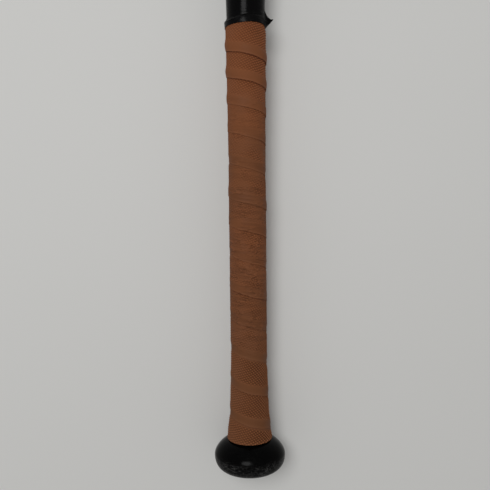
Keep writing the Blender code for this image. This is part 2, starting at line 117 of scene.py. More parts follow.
# The plug's face as (radius, station): a shallow dish with a groove round it
PLUG_FACE = [(0, 0.0002), (0.0072, 0.0002), (0.0076, 0.0005), (0.0086, 0.0005), (0.0090, 0)]
# The knob's scuffs begin this far above its widest ring, and fade again at its face
SCUFFS_ABOVE = 0.0020
SCUFFS_FADE = 0.005
SCUFFS_AT_FACE = 0.35
SCUFFS_FACE_FADE = 0.0025

# Grip
GRIP_LENGTH = 0.2934
GRIP_STANDS_OFF = 0.0008
GRIP_GIRTH = 0.086
WINDING_START = 0.0224
PITCH_AT_KNOB = 0.02395
PITCH_AT_TOP = 0.01895
LAY_GAP = 0.00004
LAP_RAMP = 0.004
# Turns from the winding's start to its first pass over the top of the bat
GRIP_PHASE = 0.506
# Its strip, thinned over the skive at both edges, and stretched a little thinner up the grip
STRIP_WIDTH = 0.0262
STRIP_THICKNESS = 0.0012
STRIP_EDGE = 0.00029
STRIP_SKIVE = 0.0060
EDGE_ROUND = 0.0003
EDGE_LEFT = 0.35
STRETCH_FROM = 0.180
STRETCH_TO = 0.260
STRETCHED = 0.95
# Turns wound past the grip's two ends and cut off again
WOUND_BEFORE = 0.2
WOUND_AFTER = 0.4
# Points across the strip: over its first margin, and back under it as shares of its width
MARGIN = (0, 0.00005, 0.00014, 0.0003, 0.0006, 0.0011, 0.0019, 0.0029, 0.0040, 0.0050, 0.0058)
UNDERSIDE = (1, 0.82, 0.6, 0.42, 0.3, 0.2, 0.12, 0.06, 0)
# Half a diamond of the knurl along and across the strip
KNURL_ALONG = 0.0014
KNURL_ACROSS = 0.00101
KNURL_DEPTH = 0.00066
KNURL_FROM = 0.0067
KNURL_COLUMNS = 18
KNURL_END = 0.0008
KNURL_FADE = 0.0015
# The last half turn is drawn up under the finishing tape
LAST_RISE = 0.0070
LAST_FROM = 12.76
LAST_OVER = 0.5
# How far each turn of the hand-wound strip strays from an even winding as it passes the top
STRAY = np.array((0, 10, 7, 20, 21, 13, 28, 24, 2, 36, 45, 38, 17, 0, 0, 0)) / 10000
# The strip's doubled start swells the grip at the knob, and its lower part was laid slack
START_SWELL = 0.0009
START_FULL = 0.004
START_REACH = 0.015
SLACK_LAY = 0.00024

# The grip's wear and shade. A pair gives the station at which something sets in and the length it
# takes to be full, which is negative where it grows towards the knob
HANDS_ABOVE = (0.076, 0.032)
HANDS_BELOW = (0.283, -0.028)
SLACK_BELOW = (0.235, -0.060)
SLACK_ABOVE = (0.040, 0.030)
DEEPER_BELOW = (0.165, -0.06)
CREASES_EASE = (0.190, 0.03)
# From here towards the knob the leather takes painted shade, with some soil
SHADE_AND_SOIL_BELOW = (0.19, -0.12)
UPPER_HAND_BELOW = (0.245, -0.015)
UPPER_HAND_ABOVE = (0.165, 0.02)
UPPER_HAND_SOIL = 0.42
CREASES_EASED = 0.45
# What hands leave of the knurl: on worn patches, between them, lower down, all round and towards +X
PATCH_SPREAD = 3.4
PATCH_LOSS_AT_ENDS = 0.15
PATCH_LEFT = 0.20
MORE_BETWEEN = 0.44
MORE_BELOW = 0.20
KNURL_ALL_ROUND = 0.84
MORE_TOWARDS_X = 0.26
# How dark each seam's painted shade and dirt is, from the knob up, how far that reaches, and the rub of
# the strip's edge
SEAM_SHADE = np.array((6, 6, 4, 0, 2, 9, 1, 4, 1, 0, 2, 0, 9, 11, 11, 11)) / 10
SEAM_REACH = 0.0003
SEAM_ALL_ROUND = 0.62
SEAM_MORE_ON_TOP = 0.33
OWN_EDGE_REACH = 0.00012
OWN_EDGE_LEAST = 0.2
EDGE_RUBBED_AT = 0.0006
EDGE_RUBBED_WIDTH = 0.0005

# Finishing tape, which drops from the grip onto the bare handle
TAPE_WIDTH = 0.0115
TAPE_ON_GRIP = 0.0025
TAPE_THICKNESS = 0.00012
TAPE_SLANT = 0.0035
TAPE_DROP = 0.0012
TAPE_DROPS_FROM = 1.9
TAPE_DROPS_BY = 0.0021
TAPE_LAP = radians(190)
TAPE_LIFT_OFF = radians(64)
TAPE_BRIDGES = 0.2
TURNS_UNDER_TAPE = range(8, 18)
JUST_BELOW = 1e-5
TAPE_ROWS = 40
TAPE_STEPS = 190
# Dip and rise in its upper edge, as height, angle from the top and width
TAPE_DIP = (0.0013, 0.1, 0.75)
TAPE_RISE = (0.0012, -1.4, 0.4)
# Its second turn climbs onto the first and is narrower on one side and slacker on another
LAP_CLIMB = radians(14)
LAP_SHIFT = 0.0002
LAP_NARROWER = 0.0010
LAP_NARROWEST = 0.4
LAP_SLACK = 0.00024
LAP_SLACKEST = -0.5
# Folds, and the second turn's ridges as height, distance below the upper edge and share drawn down
FOLD_HEIGHT = 0.00004
FOLD_MIDDLE = 1.3
FOLD_FROM_EDGE = 0.003
FOLDS_MORE = 0.8
RIDGES = ((2.6, 0.0006, 0.30), (2.1, 0.0019, 0.65), (1.6, 0.0032, 1.00))
RIDGE_WIDTH = 0.00040
RIDGES_DRAWN = 0.0034
RIDGES_DRAWN_FROM = (0.1, 0.9)
# The loose tail: its turn outwards, the drop of its lower side, its shape and its crinkle
TAIL_LENGTH = 0.0082
TAIL_TIP = 0.0046
TAIL_STEPS = 26
TAIL_TURN = radians(58)
TAIL_TURN_SOONER = 1.1
TAIL_DROP = 0.0022
TAIL_DROP_OVER = 0.2
TAIL_FULL = 0.24
TAIL_BLUNT = 0.03
TAIL_LOW_POWER = 0.9
TAIL_HIGH_POWER = 2.4

# Tables of sines, each row its height, how often it goes round, its rate along, and its start
RIPPLES = ((0.00012, 23.7, 0, 0), (0.00008, 57.1, 0, 1.0))
WORN_PATCHES = ((1, 2, 131, 0.7), (1, 3, -217, 2.0), (0.8, 1, 353, 1.1), (0.8, 5, 290, 0))
TAPE_LOW_EDGE = ((0.0006, 1, 0, 0.8), (0.0002, 3, 0, 0))
TAPE_FOLDS = ((0.5, 9, 900, 0), (0.35, 17, -1400, 1.3), (0.3, 5, 2100, 0.4))
TAIL_CRINKLE = ((0.00035, 7, 11, 0),)

# Places worked out from the sizes above
BARREL_END = BAT_LENGTH - CAP_HEIGHT
SHOULDER_STATION = BARREL_END - BARREL_STRAIGHT
HANDLE_END = JOINT_STATION + JOINT_LAP
PLUG_HEAD_RADIUS = HANDLE_RADIUS + PLUG_LIP
KNOB_FACE_RADIUS = PLUG_HEAD_RADIUS + SEAT_GAP + KNOB_FACE_RIM
NECK_END = KNOB_HEIGHT + NECK_LENGTH
GRIP_START = KNOB_HEIGHT + GRIP_STANDS_OFF
GRIP_END = GRIP_START + GRIP_LENGTH
GRIP_TURNS = (GRIP_END - WINDING_START) / ((PITCH_AT_KNOB + PITCH_AT_TOP) / 2)
TAPE_START = GRIP_END - TAPE_ON_GRIP
BORE_RADIUS = HANDLE_RADIUS - HANDLE_WALL
# Turns by which a line square across the strip falls back, per metre across
SKEW = PITCH_AT_KNOB / (PITCH_AT_KNOB**2 + GRIP_GIRTH**2)

# Colours of the grip's synthetic leather
LEATHER_DARK = (0.177, 0.0590, 0.0205, 1)
LEATHER_LIGHT = (0.204, 0.0685, 0.0244, 1)
LEATHER_CLOUDED = (0.150, 0.052, 0.0180, 1)
LEATHER_HANDLED = (0.140, 0.048, 0.0175, 1)
KNURL_BROWN = (0.322, 0.1075, 0.0393, 1)
# Painted shade, with some dirt, laid into the knurl's grooves
GROOVE_SHADE_AND_DIRT = (0.056, 0.017, 0.005, 1)
FINE_LINE_BROWN = (0.110, 0.036, 0.0125, 1)
RUBBED_EDGE = (0.270, 0.105, 0.045, 1)
CREASE_PALE = (0.245, 0.084, 0.032, 1)
# Painted shade, with some dirt, along the seams
SEAM_SHADE_AND_DIRT = (0.078, 0.011, 0.001, 1)
# Tint of the painted shade and soil towards the knob and of the soil under the upper hand
SOIL_AND_SHADE_TINT = (0.83, 0.905, 0.955, 1)

# Colours of the black and grey pieces, the woven laminate and the floor
LACQUER_DEEP = (0.0008, 0.0008, 0.0009, 1)
LACQUER_THIN = (0.0020, 0.0020, 0.0022, 1)
LACQUER_SCRATCHED = (0.022, 0.022, 0.024, 1)
KNOB_BLACK = (0.0004, 0.0004, 0.00045, 1)
KNOB_SCUFFED = (0.052, 0.0512, 0.0500, 1)
VINYL_BLACK = (0.0005, 0.0005, 0.0006, 1)
VINYL_STRETCHED = (0.0040, 0.0040, 0.0043, 1)
RESIN_DARK = (0.010, 0.010, 0.011, 1)
FIBRE_GREY = (0.060, 0.062, 0.066, 1)
BOARD_DARK = (0.70, 0.70, 0.685, 1)
BOARD_LIGHT = (0.73, 0.73, 0.715, 1)

# Plain finishes: dark and light colour, scale of the noise, range of roughness and depth of the bump
SATIN = ((0.006, 0.006, 0.0065, 1), (0.011, 0.011, 0.0115, 1), 700.0, (0.40, 0.55), 0.000012)
RUBBER = ((0.035, 0.035, 0.038, 1), (0.060, 0.060, 0.064, 1), 500.0, (0.65, 0.85), 0.00004)
STEEL = ((0.42, 0.42, 0.43, 1), (0.58, 0.58, 0.59, 1), 300.0, (0.25, 0.42), 0.00002)
FOAM = ((0.48, 0.42, 0.30, 1), (0.66, 0.60, 0.46, 1), 900.0, (0.8, 0.95), 0.0002)
GLUE = ((0.36, 0.20, 0.05, 1), (0.52, 0.33, 0.10, 1), 220.0, (0.15, 0.35), 0.0001)

# Camera, as fitted to the photograph about the bat's axis
CAMERA_AT = (-0.00205, 0.1907, 0.4128)
CAMERA_LEAN = radians(3.86)
CAMERA_ROLL = radians(-0.59)
CAMERA_LENS = 42.6
CAMERA_SENSOR = 36.0
CAMERA_NEAREST = 0.01

# Lamp, surround and floor, which glows a little to the eye alone from near to far off
LAMP_AT = (-0.24, 0.12, 1.25)
LAMP_TOWARDS = (0, -0.15, 0)
LAMP_WIDTH = 0.62
LAMP_WATTS = 7.8
SURROUND_COLOUR = (1.0, 0.99, 0.975, 1)
SURROUND_STRENGTH = 0.33
SURROUND_SEEN_MORE = 0.19
FLOOR_REACH = 15.0
FLOOR_LEVEL = -0.0002
FLOOR_GLOW_RANGE = (0.35, 2.0)
FLOOR_GLOW = 0.26


def laid(points):
    """Points about the bat's axis, turned about X by AXIS_TILT and moved to AXIS_START."""
    x, y, z = np.moveaxis(np.asarray(points, float), -1, 0)
    c, s = cos(AXIS_TILT), sin(AXIS_TILT)
    return np.stack((x, y * c - z * s, y * s + z * c), -1) + AXIS_START


def round_axis(radius, station, angle):
    """The point (radius sin angle, station, radius cos angle): angle runs from the top towards +X."""
    radius, station, angle = np.broadcast_arrays(radius, station, angle)
    return np.stack((radius * np.sin(angle), station, radius * np.cos(angle)), -1)


def smooth_step(x):
    """0 below 0, 1 above 1, and 3x^2 - 2x^3 between."""
    x = np.clip(x, 0, 1)
    return x * x * (3 - 2 * x)


def sets_in(x, start, over):
    """0 up to start and a smooth step to 1 over the length after it, or before it if over is negative."""
    return smooth_step((x - start) / over)


def bell(x, middle, width):
    """exp(-((x - middle) / width)^2)."""
    return np.exp(-(((x - middle) / width) ** 2))


def sines(table, turning, along=0.0):
    """Sum of height * sin(a * turning + b * along + start) over a table's rows."""
    return sum(height * np.sin(a * turning + b * along + start) for height, a, b, start in table)


def grid_quads(rows, columns, wrap_rows=False, wrap_columns=False):
    """Quads of a grid of points numbered row by row, closed on itself either way if asked."""
    i = np.arange(rows if wrap_rows else rows - 1)[:, None]
    j = np.arange(columns if wrap_columns else columns - 1)[None, :]
    after_i = (i + 1) % rows
    after_j = (j + 1) % columns
    here, there = i * columns, after_i * columns
    return np.stack((here + j, here + after_j, there + after_j, there + j), -1).reshape(-1, 4)


def end_caps(rows, columns):
    """The two faces that close the ends of a grid that is wrapped along its columns."""
    ring = np.arange(columns)[None, :]
    return [ring[:, ::-1], (rows - 1) * columns + ring]


def signed_volume(points, faces):
    """Volume inside closed faces, negative if they point inwards: a sixth of the sum of a . (b x c)."""
    total = 0.0
    for group in faces:
        corners = points[group]
        a = corners[..., 0, :]
        for k in range(1, corners.shape[-2] - 1):
            total += np.sum(a * np.cross(corners[..., k, :], corners[..., k + 1, :])) / 6
    return total


def new_object(name, data):
    """A new object, put into the scene."""
    made = bpy.data.objects.new(name, data)
    bpy.context.scene.collection.objects.link(made)
    return made


def store_values(mesh, label, array):
    """Keeps one number for each point of a mesh, for its finish to read."""
    mesh.attributes.new(label, "FLOAT", "POINT").data.foreach_set("value", array)


def add_piece(name, points, faces, finish, node, uv=None, values=None, sharp=35, flat=None):
    """A closed piece from points about the axis and arrays of faces, turned outwards and laid in place.

    It stands for the node. uv and values hold a place on the strip and named numbers for each point,
    edges sharper than sharp degrees stay crisp, and the faces marked flat aren't smoothed.
    """
    if signed_volume(points, faces) < 0:
        faces = [group[:, ::-1] for group in faces]
    mesh = bpy.data.meshes.new(name)
    listed = [face for group in faces for face in group.tolist()]
    mesh.from_pydata(laid(points).tolist(), [], listed)
    if uv is not None:
        corners = np.concatenate([group.ravel() for group in faces])
        mesh.uv_layers.new(name="strip").data.foreach_set("uv", uv[corners].ravel())
    for label, array in (values or {}).items():
        store_values(mesh, label, array)
    mesh.shade_smooth()
    mesh.set_sharp_from_angle(angle=radians(sharp))
    if flat is not None:
        mesh.polygons.foreach_set("use_smooth", ~flat)
    mesh.materials.append(finish)
    made = new_object(name, mesh)
    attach(made, "root")
    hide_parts(node)
    return made


def softened(outline, radius, closed):
    """The outline with each sharp corner B, between A and C, replaced by a quadratic curve.

    The curve is (1-t)^2 P + 2t(1-t) B + t^2 Q, where P and Q lie towards A and C by the radius, or by
    0.45 of that side if it is short. Corners that turn by less than 20 degrees stay as they are.
    """
    b = np.asarray(outline, float)
    a = np.roll(b, 1, axis=0)
    c = np.roll(b, -1, axis=0)
    to_a, to_c = a - b, c - b
    length_a = np.linalg.norm(to_a, axis=1, keepdims=True)
    length_c = np.linalg.norm(to_c, axis=1, keepdims=True)
    straight = -np.sum(to_a * to_c, axis=1, keepdims=True) / (length_a * length_c)
    cut = np.where(straight < cos(radians(20)), 1.0, 0.0)
    if not closed:
        cut[[0, -1]] = 0
    p = b + to_a / length_a * np.minimum(radius, 0.45 * length_a) * cut
    q = b + to_c / length_c * np.minimum(radius, 0.45 * length_c) * cut
    t = np.linspace(0, 1, CORNER_POINTS)[None, :, None]
    curve = (1 - t) ** 2 * p[:, None] + 2 * t * (1 - t) * b[:, None] + t**2 * q[:, None]
    curve = curve.reshape(-1, 2)
    moved = np.linalg.norm(np.diff(curve, axis=0, prepend=curve[-1:]), axis=1) > SAME_PLACE
    if not closed:
        moved[0] = True
    return curve[moved]


def turned(name, outline, finish, node, soft=0.0002):
    """The surface of revolution of an outline of (radius, station) points about the bat's axis.

    An outline that starts and ends on the axis is closed by a fan at each pole, and any other one is
    a closed ring section. Its corners are rounded off by the length soft.
    """
    outline = np.asarray(outline, float)
    poles = outline[0, 0] == 0 and outline[-1, 0] == 0
    outline = softened(outline, soft, closed=not poles)
    angles = np.linspace(0, tau, SIDES, endpoint=False)
    rings = outline[1:-1] if poles else outline
    points = round_axis(rings[:, :1], rings[:, 1:], angles[None, :]).reshape(-1, 3)
    faces = [grid_quads(len(rings), SIDES, wrap_rows=not poles, wrap_columns=True)]
    if poles:
        pole = len(points)
        points = np.concatenate((points, round_axis(0.0, outline[[0, -1], 1], 0.0)))
        here = np.arange(SIDES)
        after = (here + 1) % SIDES
        last_ring = pole - SIDES
        faces.append(np.stack((np.full(SIDES, pole), after, here), -1))
        faces.append(np.stack((np.full(SIDES, pole + 1), last_ring + here, last_ring + after), -1))
    return add_piece(name, points, faces, finish, node)


def handle_radius(y):
    """Handle tube outside: HANDLE_RADIUS, plus HANDLE_SWELL times a power of the way to the joint."""
    share = np.maximum(0.0, (y - HANDLE_STRAIGHT) / (JOINT_STATION - HANDLE_STRAIGHT))
    return HANDLE_RADIUS + HANDLE_SWELL * share**SWELL_POWER


def grip_seat(y):
    """What the grip lies on: the knob's neck, falling in a power curve to the handle tube."""
    left = np.maximum(0.0, 1 - (y - KNOB_HEIGHT) / FLARE_LENGTH)
    return handle_radius(y) + FLARE_RISE * left**FLARE_POWER


def socket_radius(y):
    """Inside of the barrel's throat, round the handle's cone and the sleeve."""
    return handle_radius(y) + SEAT_GAP + SLEEVE_WALL + SEAT_GAP


def barrel_radius(y):
    """Barrel outside: from throat to shoulder by t + t^2 - t^3, then straight."""
    throat = socket_radius(JOINT_STATION) + THROAT_WALL
    t = np.minimum(1.0, (y - JOINT_STATION) / (SHOULDER_STATION - JOINT_STATION))
    return throat + (BARREL_RADIUS - throat) * (t + t**2 - t**3)


def barrel_bore(y):
    """Barrel inside past the joint, its wall thickening evenly up to the shoulder."""
    wall_at_lap = barrel_radius(HANDLE_END) - socket_radius(HANDLE_END)
    share = np.minimum(1.0, (y - HANDLE_END) / (SHOULDER_STATION - HANDLE_END))
    return barrel_radius(y) - (wall_at_lap + (BARREL_WALL - wall_at_lap) * share)


def stretch(radius_of, first, last, count):
    """(radius, station) points of a radius function between two stations."""
    y = np.linspace(first, last, count)
    return np.stack((radius_of(y), y), -1)


def arc(centre_r, centre_y, reach_r, reach_y, count, power=1.0):
    """Quarter of a superellipse: r + a sin^p, y + b cos^p, for an angle from 0 to a right angle."""
    angle = np.linspace(0, pi / 2, count)
    r = centre_r + reach_r * np.sin(angle) ** power
    y = centre_y + reach_y * np.cos(angle) ** power
    return np.stack((r, y), -1)


def new_finish(name, **sockets):
    """A Principled material with even values on its own sockets, its node tree and its shader."""
    made = bpy.data.materials.new(name)
    made.use_nodes = True
    shader = made.node_tree.nodes["Principled BSDF"]
    for socket, value in sockets.items():
        shader.inputs[socket.replace("_", " ")].default_value = value
    return made, made.node_tree, shader


def add_node(tree, kind, inputs=None, out=0, **settings):
    """A node with its settings and inputs, each input a value or another node's output."""
    made = tree.nodes.new(kind)
    for key, value in settings.items():
        setattr(made, key, value)
    for key, value in (inputs or {}).items():
        if isinstance(value, bpy.types.NodeSocket):
            tree.links.new(value, made.inputs[key])
        else:
            made.inputs[key].default_value = value
    return made.outputs[out]


def maths(tree, operation, a, b=0.0, c=0.0):
    """A Math node's result."""
    return add_node(tree, "ShaderNodeMath", {0: a, 1: b, 2: c}, operation=operation)


def mapped(tree, value, low, high, to_low=0.0, to_high=1.0):
    """value taken smoothly from the range low to high onto to_low to to_high, held at both ends."""
    inputs = {"Value": value, "From Min": low, "From Max": high, "To Min": to_low, "To Max": to_high}
    return add_node(tree, "ShaderNodeMapRange", inputs, interpolation_type="SMOOTHSTEP")


def blended(tree, amount, first, second, mode="MIX"):
    """Two colours mixed by an amount."""
    inputs = {0: amount, 6: first, 7: second}
    return add_node(tree, "ShaderNodeMix", inputs, out=2, data_type="RGBA", blend_type=mode)


def point_value(tree, label):
    """A number that the mesh keeps for each of its points."""
    return add_node(tree, "ShaderNodeAttribute", attribute_name=label, out=2)


def own_place(tree):
    """The object's own coordinates."""
    return add_node(tree, "ShaderNodeTexCoord", out=3)


def object_noise(tree, scale, detail=2.0, stretch_by=(1, 1, 1), turn=(0, 0, 0)):
    """Noise from the object's own coordinates, turned and then made finer along each axis."""
    inputs = {"Vector": own_place(tree), "Scale": [1 / v for v in stretch_by], "Rotation": turn}
    place = add_node(tree, "ShaderNodeMapping", inputs, vector_type="TEXTURE")
    return add_node(tree, "ShaderNodeTexNoise", {"Vector": place, "Scale": scale, "Detail": detail})


def lay_on(tree, shader, colour, roughness, height, distance):
    """Gives the shader a colour, a roughness and a bump of height times a distance in metres."""
    normal = add_node(tree, "ShaderNodeBump", {"Height": height, "Distance": distance})
    for value, socket in ((colour, "Base Color"), (roughness, "Roughness"), (normal, "Normal")):
        tree.links.new(value, shader.inputs[socket])


def knurl_pads(tree):
    """1 on the knurl's diamonds and 0 in its grooves, from two sets of diagonals across the strip."""
    strip = add_node(tree, "ShaderNodeUVMap", uv_map="strip")
    parts = tree.nodes.new("ShaderNodeSeparateXYZ")
    tree.links.new(strip, parts.inputs[0])
    along, across = parts.outputs[0], parts.outputs[1]
    lines = []
    for sign in (1.0, -1.0):
        diagonal = maths(tree, "MULTIPLY_ADD", across, sign, along)
        wave = maths(tree, "PINGPONG", maths(tree, "ADD", diagonal, 0.5), 0.5)
        lines.append(mapped(tree, wave, 0.0, 0.34))
    return maths(tree, "MULTIPLY", lines[0], lines[1])


def grip_finish():
    """Brown synthetic leather: knurled between smooth margins, painted shade and dirt in grooves and
    along seams, rubbed at its edge.
    """
    made, tree, shader = new_finish("brown_grip", IOR=1.30)
    labels = ("knurled", "seam_shade", "edge_wear", "creased", "soil_and_shade")
    knurled, seam, rubbed, creased, soil_and_shade = (point_value(tree, label) for label in labels)
    pads = knurl_pads(tree)
    # Where the knurl's grooves get their painted shade and dirt, as deep as the knurl
    groove = maths(tree, "MULTIPLY", maths(tree, "SUBTRACT", 1.0, pads), knurled)
    # Creases run in groups where a drawn-out noise crosses its middle, and fine lines lie on its peaks
    wavy = object_noise(tree, 115.0, 2.0, (0.8, 3.2, 0.8), (0, 0, -0.12))
    off_middle = maths(tree, "ABSOLUTE", maths(tree, "SUBTRACT", wavy, 0.5))
    groups = mapped(tree, object_noise(tree, 95.0), 0.42, 0.58)
    crease = maths(tree, "MULTIPLY", mapped(tree, off_middle, 0.0, 0.085, 1.0, 0.0), groups)
    crease = maths(tree, "MULTIPLY", crease, creased)
    fine = mapped(tree, object_noise(tree, 150.0, 1.0, (0.3, 3.2, 0.3), (0, 0, -0.10)), 0.44, 0.60)
    fine = maths(tree, "MULTIPLY", fine, creased)
    mottle = object_noise(tree, 55.0, 4.0)
    clouds = mapped(tree, object_noise(tree, 9.0), 0.35, 0.7, 0.0, 0.4)
    leather = blended(tree, mapped(tree, mottle, 0.3, 0.7), LEATHER_DARK, LEATHER_LIGHT)
    leather = blended(tree, clouds, leather, LEATHER_CLOUDED)
    # Colour layers: the groove and seam layers are painted shade with some dirt
    layers = (
        (creased, 0.20, LEATHER_HANDLED),
        (knurled, 0.80, KNURL_BROWN),
        (groove, 0.66, GROOVE_SHADE_AND_DIRT),
        (fine, 0.34, FINE_LINE_BROWN),
        (rubbed, 0.30, RUBBED_EDGE),
        (crease, 0.46, CREASE_PALE),
        (seam, 0.80, SEAM_SHADE_AND_DIRT),
    )
    for where, share, colour in layers:
        leather = blended(tree, maths(tree, "MULTIPLY", where, share), leather, colour)
    # Painted shade and soil towards the knob, and soil under the upper hand
    leather = blended(tree, soil_and_shade, leather, SOIL_AND_SHADE_TINT, "MULTIPLY")
    pores = object_noise(tree, 2600.0)
    height = maths(tree, "MULTIPLY_ADD", pores, 0.25, maths(tree, "MULTIPLY", pads, knurled))
    height = maths(tree, "MULTIPLY_ADD", crease, 3.4, height)
    height = maths(tree, "MULTIPLY_ADD", fine, -1.2, height)
    lay_on(tree, shader, leather, mapped(tree, mottle, 0.3, 0.7, 0.68, 0.84), height, 0.00014)
    return made


def lacquer_finish(name, ior, rippled):
    """Deep black clear coat with faint orange peel, ripples along the bat and hairline scratches."""
    made, tree, shader = new_finish(name, IOR=ior)
    colour = blended(tree, object_noise(tree, 14.0, 3.0), LACQUER_DEEP, LACQUER_THIN)
    hairs = object_noise(tree, 90.0, 5.0, (14, 0.5, 14), (0, 0.2, 0.35))
    colour = blended(tree, mapped(tree, hairs, 0.66, 0.78, 0.0, 0.5), colour, LACQUER_SCRATCHED)
    roughness = mapped(tree, hairs, 0.45, 0.80, 0.17, 0.40)
    peel = object_noise(tree, 420.0)
    ripples = object_noise(tree, 130.0, 2.0, (0.3, 5, 0.3))
    height = maths(tree, "MULTIPLY_ADD", ripples, rippled, peel)
    lay_on(tree, shader, colour, roughness, height, 0.00003)
    return made


def knob_finish():
    """Black moulding, glossy above and scuffed grey below its widest ring."""
    made, tree, shader = new_finish("knob_black", IOR=1.12)
    foot = point_value(tree, "foot")
    patches = mapped(tree, object_noise(tree, 75.0, 3.0), 0.40, 0.60, 0.25, 1.0)
    marks = mapped(tree, object_noise(tree, 900.0), 0.52, 0.72, 0.0, 0.9)
    for scale, turn in ((120.0, (0.12, 0, 0.05)), (150.0, (1.0, 0, 0.5)), (140.0, (-0.9, 0, -0.6))):
        dashes = object_noise(tree, scale, 3.0, (1.0, 12.0, 1.0), turn)
        marks = maths(tree, "MULTIPLY_ADD", mapped(tree, dashes, 0.54, 0.70), 0.6, marks)
    scuffs = maths(tree, "MULTIPLY", marks, patches)
    scuffs = maths(tree, "MULTIPLY", scuffs, maths(tree, "MULTIPLY_ADD", foot, 0.97, 0.03))
    colour = blended(tree, scuffs, KNOB_BLACK, KNOB_SCUFFED)
    roughness = maths(tree, "MULTIPLY_ADD", foot, 0.10, mapped(tree, scuffs, 0.0, 0.8, 0.18, 0.38))
    dents = maths(tree, "MULTIPLY_ADD", scuffs, -0.5, object_noise(tree, 180.0, 3.0))
    rings = maths(tree, "MULTIPLY", object_noise(tree, 90.0, 3.0, (1, 9, 1)), foot)
    height = maths(tree, "MULTIPLY_ADD", rings, 1.1, dents)
    lay_on(tree, shader, colour, roughness, height, 0.00010)
    return made


def tape_finish():
    """Stretched black vinyl, a little greyed on its folds."""
    made, tree, shader = new_finish("black_vinyl", IOR=1.15)
    grain = object_noise(tree, 900.0, 3.0, (1, 3, 1))
    folds = object_noise(tree, 160.0, 3.0, (0.6, 2.4, 0.6), (0, 0, 0.5))
    colour = blended(tree, mapped(tree, folds, 0.45, 0.75), VINYL_BLACK, VINYL_STRETCHED)
    height = maths(tree, "MULTIPLY_ADD", grain, 0.12, folds)
    lay_on(tree, shader, colour, mapped(tree, grain, 0.3, 0.7, 0.20, 0.32), height, 0.00018)
    return made


def plain_finish(name, look, stretch_by=(1, 1, 1), **sockets):
    """A finish whose colour, roughness and bump all follow one noise, by a row such as SATIN."""
    dark, light, scale, rough, depth = look
    made, tree, shader = new_finish(name, **sockets)
    grain = object_noise(tree, scale, 4.0, stretch_by)
    colour = blended(tree, mapped(tree, grain, 0.3, 0.7), dark, light)
    lay_on(tree, shader, colour, mapped(tree, grain, 0.3, 0.7, *rough), grain, depth)
    return made


def laminate_finish():
    """Bare woven laminate: two sets of fine bands along and round the ring."""
    made, tree, shader = new_finish("raw_laminate", Coat_Weight=0.3, Coat_Roughness=0.3)
    inputs = {"Vector": own_place(tree), "Scale": 130.0, "Distortion": 1.5, "Detail": 2.0}
    bands = [
        add_node(tree, "ShaderNodeTexWave", inputs, out=1, bands_direction=direction)
        for direction in ("X", "Y")
    ]
    weave = maths(tree, "MAXIMUM", bands[0], bands[1])
    colour = blended(tree, weave, RESIN_DARK, FIBRE_GREY)
    lay_on(tree, shader, colour, mapped(tree, weave, 0, 1, 0.35, 0.6), weave, 0.0001)
    return made


def looked_at(tree):
    """1 for what the camera sees, also in glass or a reflection, and 0 for light on the object."""
    rays = tree.nodes.new("ShaderNodeLightPath").outputs
    seen = maths(tree, "MAXIMUM", rays["Is Camera Ray"], rays["Is Glossy Ray"])
    return maths(tree, "MAXIMUM", seen, rays["Is Transmission Ray"])


def floor_finish():
    """Pale matt board with the faintest mottling, kept pale to the eye far from the lamp."""
    made, tree, shader = new_finish("pale_board", Roughness=0.85, Specular_IOR_Level=0.2)
    colour = blended(tree, object_noise(tree, 3.0), BOARD_DARK, BOARD_LIGHT)
    distance = add_node(tree, "ShaderNodeVectorMath", {0: own_place(tree)}, out=1, operation="LENGTH")
    glow = mapped(tree, distance, *FLOOR_GLOW_RANGE, 0.0, FLOOR_GLOW)
    tree.links.new(colour, shader.inputs["Base Color"])
    tree.links.new(maths(tree, "MULTIPLY", glow, looked_at(tree)), shader.inputs["Emission Strength"])
    return made


def make_knob(finish):
    """Round foot, conical shoulder, flared neck, and the bore for the tube and the plug's head.

    Foot and shoulder are quarter superellipses that meet at the widest ring.
    """
    foot_reach = KNOB_RADIUS - KNOB_FACE_RADIUS
    foot = arc(KNOB_FACE_RADIUS, KNOB_WIDEST, foot_reach, -KNOB_WIDEST, 48, 2 / KNOB_FOOT_POWER)
    root = grip_seat(KNOB_HEIGHT)
    rise = KNOB_HEIGHT - KNOB_WIDEST
    shoulder = arc(root, KNOB_WIDEST, KNOB_RADIUS - root, rise, 40, 2 / KNOB_SHOULDER_POWER)
    neck = stretch(grip_seat, KNOB_HEIGHT, NECK_END, 14)[1:]
    bore = HANDLE_RADIUS + SEAT_GAP
    counterbore = PLUG_HEAD_RADIUS + SEAT_GAP
    inside = [(bore, NECK_END), (bore, TUBE_RECESS), (counterbore, TUBE_RECESS), (counterbore, 0)]
    outline = np.concatenate((foot, shoulder[::-1][1:], neck, inside))
    mesh = turned("knob_moulding", outline, finish, "knob", soft=0.00035).data
    co = np.zeros(len(mesh.vertices) * 3)
    mesh.vertices.foreach_get("co", co)
    station = co.reshape(-1, 3)[:, 1] - AXIS_START[1]
    below_widest = smooth_step((KNOB_WIDEST + SCUFFS_ABOVE - station) / SCUFFS_FADE)
    off_face = SCUFFS_AT_FACE + (1 - SCUFFS_AT_FACE) * smooth_step(station / SCUFFS_FACE_FADE)
    store_values(mesh, "foot", below_widest * off_face)


def make_plug(finish):
    """The flush head in the knob's face, dished and grooved, and its hollow stem."""
    stem = BORE_RADIUS - SEAT_GAP
    hollow = stem - PLUG_WALL
    floor = PLUG_HEAD + PLUG_FLOOR
    side = [(PLUG_HEAD_RADIUS, 0), (PLUG_HEAD_RADIUS, PLUG_HEAD), (stem, PLUG_HEAD), (stem, PLUG_LENGTH)]
    inside = [(hollow, PLUG_LENGTH), (hollow, floor), (0, floor)]
    turned("knob_face_plug", PLUG_FACE + side + inside, finish, "knob_plug", soft=0.00015)


def make_handle(finish):
    """The hollow handle tube up to its hidden end in the barrel."""
    outside = stretch(handle_radius, TUBE_RECESS, HANDLE_END, 90)
    inside = stretch(handle_radius, HANDLE_END, TUBE_RECESS, 40) - (HANDLE_WALL, 0)
    turned("handle", np.concatenate((outside, inside)), finish, "handle_tube")


